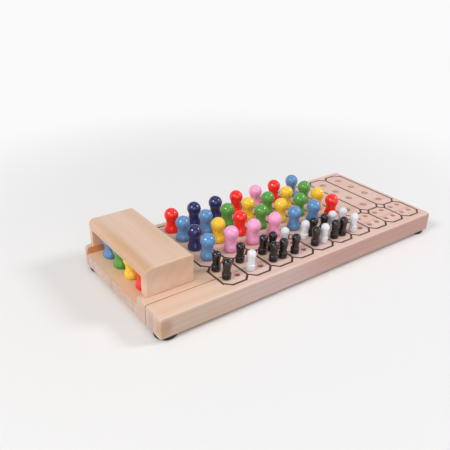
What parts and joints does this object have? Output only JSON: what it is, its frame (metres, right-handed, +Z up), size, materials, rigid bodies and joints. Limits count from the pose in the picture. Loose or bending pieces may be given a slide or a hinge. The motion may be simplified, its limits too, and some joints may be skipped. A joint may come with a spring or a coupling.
{
  "type": "code breaking peg game",
  "caption": "Wooden code breaking game: a long board on feet with rows of peg holes and score holes, coloured turned pegs, and a lift-off cover over the hidden code.",
  "frame": {"origin": "on the table top, under the middle of the board", "axes": "+X along the board from the cover's end to the empty rows, +Y across it away from the score holes, +Z up"},
  "size_m": [0.309, 0.1272, 0.0453],
  "materials": {
    "board_wood": "bare pale wood, sanded smooth",
    "cover_wood": "bare pale wood, sanded smooth",
    "edge_strip_wood": "bare pale wood, sanded smooth",
    "foot_rubber": "matt dark brown rubber",
    "lacquer_dark_blue": "gloss lacquer on turned wood",
    "lacquer_green": "gloss lacquer on turned wood",
    "lacquer_light_blue": "gloss lacquer on turned wood",
    "lacquer_pink": "gloss lacquer on turned wood",
    "lacquer_red": "gloss lacquer on turned wood",
    "lacquer_yellow": "gloss lacquer on turned wood",
    "score_black": "gloss lacquer on turned wood",
    "score_white": "gloss lacquer on turned wood"
  },
  "bodies": {
    "board": {"board_edge_strip": "edge_strip_wood", "board_panel": "board_wood", "foot_far_left": "foot_rubber", "foot_far_right": "foot_rubber", "foot_near_left": "foot_rubber", "foot_near_right": "foot_rubber"},
    "cover": {"cover": "cover_wood"},
    "code_peg_1_red": {"code_peg_1_red": "lacquer_red"},
    "code_peg_2_yellow": {"code_peg_2_yellow": "lacquer_yellow"},
    "code_peg_3_green": {"code_peg_3_green": "lacquer_green"},
    "code_peg_4_light_blue": {"code_peg_4_light_blue": "lacquer_light_blue"},
    "row1_peg_1_light_blue": {"row1_peg_1_light_blue": "lacquer_light_blue"},
    "row1_peg_2_dark_blue": {"row1_peg_2_dark_blue": "lacquer_dark_blue"},
    "row1_peg_3_light_blue": {"row1_peg_3_light_blue": "lacquer_light_blue"},
    "row1_peg_4_red": {"row1_peg_4_red": "lacquer_red"},
    "row1_score_1_black": {"row1_score_1_black": "score_black"},
    "row1_score_2_black": {"row1_score_2_black": "score_black"},
    "row2_peg_1_pink": {"row2_peg_1_pink": "lacquer_pink"},
    "row2_peg_2_yellow": {"row2_peg_2_yellow": "lacquer_yellow"},
    "row2_peg_3_light_blue": {"row2_peg_3_light_blue": "lacquer_light_blue"},
    "row2_peg_4_dark_blue": {"row2_peg_4_dark_blue": "lacquer_dark_blue"},
    "row2_score_1_black": {"row2_score_1_black": "score_black"},
    "row2_score_2_white": {"row2_score_2_white": "score_white"},
    "row3_peg_1_pink": {"row3_peg_1_pink": "lacquer_pink"},
    "row3_peg_2_red": {"row3_peg_2_red": "lacquer_red"},
    "row3_peg_3_green": {"row3_peg_3_green": "lacquer_green"},
    "row3_peg_4_dark_blue": {"row3_peg_4_dark_blue": "lacquer_dark_blue"},
    "row3_score_1_black": {"row3_score_1_black": "score_black"},
    "row3_score_2_black": {"row3_score_2_black": "score_black"},
    "row3_score_3_black": {"row3_score_3_black": "score_black"},
    "row3_score_4_black": {"row3_score_4_black": "score_black"},
    "row4_peg_1_pink": {"row4_peg_1_pink": "lacquer_pink"},
    "row4_peg_2_green": {"row4_peg_2_green": "lacquer_green"},
    "row4_peg_3_yellow": {"row4_peg_3_yellow": "lacquer_yellow"},
    "row4_peg_4_red": {"row4_peg_4_red": "lacquer_red"},
    "row4_score_1_white": {"row4_score_1_white": "score_white"},
    "row4_score_2_black": {"row4_score_2_black": "score_black"},
    "row5_peg_1_light_blue": {"row5_peg_1_light_blue": "lacquer_light_blue"},
    "row5_peg_2_yellow": {"row5_peg_2_yellow": "lacquer_yellow"},
    "row5_peg_3_green": {"row5_peg_3_green": "lacquer_green"},
    "row5_peg_4_pink": {"row5_peg_4_pink": "lacquer_pink"},
    "row5_score_1_white": {"row5_score_1_white": "score_white"},
    "row5_score_2_black": {"row5_score_2_black": "score_black"},
    "row5_score_3_white": {"row5_score_3_white": "score_white"},
    "row5_score_4_black": {"row5_score_4_black": "score_black"},
    "row6_peg_1_light_blue": {"row6_peg_1_light_blue": "lacquer_light_blue"},
    "row6_peg_2_green": {"row6_peg_2_green": "lacquer_green"},
    "row6_peg_3_yellow": {"row6_peg_3_yellow": "lacquer_yellow"},
    "row6_peg_4_red": {"row6_peg_4_red": "lacquer_red"},
    "row6_score_1_black": {"row6_score_1_black": "score_black"},
    "row6_score_2_black": {"row6_score_2_black": "score_black"},
    "row6_score_3_black": {"row6_score_3_black": "score_black"},
    "row6_score_4_white": {"row6_score_4_white": "score_white"},
    "row7_peg_1_red": {"row7_peg_1_red": "lacquer_red"},
    "row7_peg_2_yellow": {"row7_peg_2_yellow": "lacquer_yellow"},
    "row7_peg_3_green": {"row7_peg_3_green": "lacquer_green"},
    "row7_peg_4_light_blue": {"row7_peg_4_light_blue": "lacquer_light_blue"},
    "row7_score_1_white": {"row7_score_1_white": "score_white"},
    "row7_score_2_white": {"row7_score_2_white": "score_white"}
  },
  "joints": [
    {"name": "cover_lift", "type": "slide", "parent": "board", "child": "cover", "axis": [0, 0, 1], "range_m": [0, 0.06]},
    {"name": "code_peg_1_red_lift", "type": "slide", "parent": "board", "child": "code_peg_1_red", "axis": [0, 0, 1], "range_m": [0, 0.0042]},
    {"name": "code_peg_2_yellow_lift", "type": "slide", "parent": "board", "child": "code_peg_2_yellow", "axis": [0, 0, 1], "range_m": [0, 0.0042]},
    {"name": "code_peg_3_green_lift", "type": "slide", "parent": "board", "child": "code_peg_3_green", "axis": [0, 0, 1], "range_m": [0, 0.0042]},
    {"name": "code_peg_4_light_blue_lift", "type": "slide", "parent": "board", "child": "code_peg_4_light_blue", "axis": [0, 0, 1], "range_m": [0, 0.0042]},
    {"name": "row1_peg_1_light_blue_lift", "type": "slide", "parent": "board", "child": "row1_peg_1_light_blue", "axis": [0, 0, 1], "range_m": [0, 0.014]},
    {"name": "row1_peg_2_dark_blue_lift", "type": "slide", "parent": "board", "child": "row1_peg_2_dark_blue", "axis": [0, 0, 1], "range_m": [0, 0.014]},
    {"name": "row1_peg_3_light_blue_lift", "type": "slide", "parent": "board", "child": "row1_peg_3_light_blue", "axis": [0, 0, 1], "range_m": [0, 0.014]},
    {"name": "row1_peg_4_red_lift", "type": "slide", "parent": "board", "child": "row1_peg_4_red", "axis": [0, 0, 1], "range_m": [0, 0.014]},
    {"name": "row1_score_1_black_lift", "type": "slide", "parent": "board", "child": "row1_score_1_black", "axis": [0, 0, 1], "range_m": [0, 0.012]},
    {"name": "row1_score_2_black_lift", "type": "slide", "parent": "board", "child": "row1_score_2_black", "axis": [0, 0, 1], "range_m": [0, 0.012]},
    {"name": "row2_peg_1_pink_lift", "type": "slide", "parent": "board", "child": "row2_peg_1_pink", "axis": [0, 0, 1], "range_m": [0, 0.014]},
    {"name": "row2_peg_2_yellow_lift", "type": "slide", "parent": "board", "child": "row2_peg_2_yellow", "axis": [0, 0, 1], "range_m": [0, 0.014]},
    {"name": "row2_peg_3_light_blue_lift", "type": "slide", "parent": "board", "child": "row2_peg_3_light_blue", "axis": [0, 0, 1], "range_m": [0, 0.014]},
    {"name": "row2_peg_4_dark_blue_lift", "type": "slide", "parent": "board", "child": "row2_peg_4_dark_blue", "axis": [0, 0, 1], "range_m": [0, 0.014]},
    {"name": "row2_score_1_black_lift", "type": "slide", "parent": "board", "child": "row2_score_1_black", "axis": [0, 0, 1], "range_m": [0, 0.012]},
    {"name": "row2_score_2_white_lift", "type": "slide", "parent": "board", "child": "row2_score_2_white", "axis": [0, 0, 1], "range_m": [0, 0.012]},
    {"name": "row3_peg_1_pink_lift", "type": "slide", "parent": "board", "child": "row3_peg_1_pink", "axis": [0, 0, 1], "range_m": [0, 0.014]},
    {"name": "row3_peg_2_red_lift", "type": "slide", "parent": "board", "child": "row3_peg_2_red", "axis": [0, 0, 1], "range_m": [0, 0.014]},
    {"name": "row3_peg_3_green_lift", "type": "slide", "parent": "board", "child": "row3_peg_3_green", "axis": [0, 0, 1], "range_m": [0, 0.014]},
    {"name": "row3_peg_4_dark_blue_lift", "type": "slide", "parent": "board", "child": "row3_peg_4_dark_blue", "axis": [0, 0, 1], "range_m": [0, 0.014]},
    {"name": "row3_score_1_black_lift", "type": "slide", "parent": "board", "child": "row3_score_1_black", "axis": [0, 0, 1], "range_m": [0, 0.012]},
    {"name": "row3_score_2_black_lift", "type": "slide", "parent": "board", "child": "row3_score_2_black", "axis": [0, 0, 1], "range_m": [0, 0.012]},
    {"name": "row3_score_3_black_lift", "type": "slide", "parent": "board", "child": "row3_score_3_black", "axis": [0, 0, 1], "range_m": [0, 0.012]},
    {"name": "row3_score_4_black_lift", "type": "slide", "parent": "board", "child": "row3_score_4_black", "axis": [0, 0, 1], "range_m": [0, 0.012]},
    {"name": "row4_peg_1_pink_lift", "type": "slide", "parent": "board", "child": "row4_peg_1_pink", "axis": [0, 0, 1], "range_m": [0, 0.014]},
    {"name": "row4_peg_2_green_lift", "type": "slide", "parent": "board", "child": "row4_peg_2_green", "axis": [0, 0, 1], "range_m": [0, 0.014]},
    {"name": "row4_peg_3_yellow_lift", "type": "slide", "parent": "board", "child": "row4_peg_3_yellow", "axis": [0, 0, 1], "range_m": [0, 0.014]},
    {"name": "row4_peg_4_red_lift", "type": "slide", "parent": "board", "child": "row4_peg_4_red", "axis": [0, 0, 1], "range_m": [0, 0.014]},
    {"name": "row4_score_1_white_lift", "type": "slide", "parent": "board", "child": "row4_score_1_white", "axis": [0, 0, 1], "range_m": [0, 0.012]},
    {"name": "row4_score_2_black_lift", "type": "slide", "parent": "board", "child": "row4_score_2_black", "axis": [0, 0, 1], "range_m": [0, 0.012]},
    {"name": "row5_peg_1_light_blue_lift", "type": "slide", "parent": "board", "child": "row5_peg_1_light_blue", "axis": [0, 0, 1], "range_m": [0, 0.014]},
    {"name": "row5_peg_2_yellow_lift", "type": "slide", "parent": "board", "child": "row5_peg_2_yellow", "axis": [0, 0, 1], "range_m": [0, 0.014]},
    {"name": "row5_peg_3_green_lift", "type": "slide", "parent": "board", "child": "row5_peg_3_green", "axis": [0, 0, 1], "range_m": [0, 0.014]},
    {"name": "row5_peg_4_pink_lift", "type": "slide", "parent": "board", "child": "row5_peg_4_pink", "axis": [0, 0, 1], "range_m": [0, 0.014]},
    {"name": "row5_score_1_white_lift", "type": "slide", "parent": "board", "child": "row5_score_1_white", "axis": [0, 0, 1], "range_m": [0, 0.012]},
    {"name": "row5_score_2_black_lift", "type": "slide", "parent": "board", "child": "row5_score_2_black", "axis": [0, 0, 1], "range_m": [0, 0.012]},
    {"name": "row5_score_3_white_lift", "type": "slide", "parent": "board", "child": "row5_score_3_white", "axis": [0, 0, 1], "range_m": [0, 0.012]},
    {"name": "row5_score_4_black_lift", "type": "slide", "parent": "board", "child": "row5_score_4_black", "axis": [0, 0, 1], "range_m": [0, 0.012]},
    {"name": "row6_peg_1_light_blue_lift", "type": "slide", "parent": "board", "child": "row6_peg_1_light_blue", "axis": [0, 0, 1], "range_m": [0, 0.014]},
    {"name": "row6_peg_2_green_lift", "type": "slide", "parent": "board", "child": "row6_peg_2_green", "axis": [0, 0, 1], "range_m": [0, 0.014]},
    {"name": "row6_peg_3_yellow_lift", "type": "slide", "parent": "board", "child": "row6_peg_3_yellow", "axis": [0, 0, 1], "range_m": [0, 0.014]},
    {"name": "row6_peg_4_red_lift", "type": "slide", "parent": "board", "child": "row6_peg_4_red", "axis": [0, 0, 1], "range_m": [0, 0.014]},
    {"name": "row6_score_1_black_lift", "type": "slide", "parent": "board", "child": "row6_score_1_black", "axis": [0, 0, 1], "range_m": [0, 0.012]},
    {"name": "row6_score_2_black_lift", "type": "slide", "parent": "board", "child": "row6_score_2_black", "axis": [0, 0, 1], "range_m": [0, 0.012]},
    {"name": "row6_score_3_black_lift", "type": "slide", "parent": "board", "child": "row6_score_3_black", "axis": [0, 0, 1], "range_m": [0, 0.012]},
    {"name": "row6_score_4_white_lift", "type": "slide", "parent": "board", "child": "row6_score_4_white", "axis": [0, 0, 1], "range_m": [0, 0.012]},
    {"name": "row7_peg_1_red_lift", "type": "slide", "parent": "board", "child": "row7_peg_1_red", "axis": [0, 0, 1], "range_m": [0, 0.014]},
    {"name": "row7_peg_2_yellow_lift", "type": "slide", "parent": "board", "child": "row7_peg_2_yellow", "axis": [0, 0, 1], "range_m": [0, 0.014]},
    {"name": "row7_peg_3_green_lift", "type": "slide", "parent": "board", "child": "row7_peg_3_green", "axis": [0, 0, 1], "range_m": [0, 0.014]},
    {"name": "row7_peg_4_light_blue_lift", "type": "slide", "parent": "board", "child": "row7_peg_4_light_blue", "axis": [0, 0, 1], "range_m": [0, 0.014]},
    {"name": "row7_score_1_white_lift", "type": "slide", "parent": "board", "child": "row7_score_1_white", "axis": [0, 0, 1], "range_m": [0, 0.012]},
    {"name": "row7_score_2_white_lift", "type": "slide", "parent": "board", "child": "row7_score_2_white", "axis": [0, 0, 1], "range_m": [0, 0.012]}
  ]
}
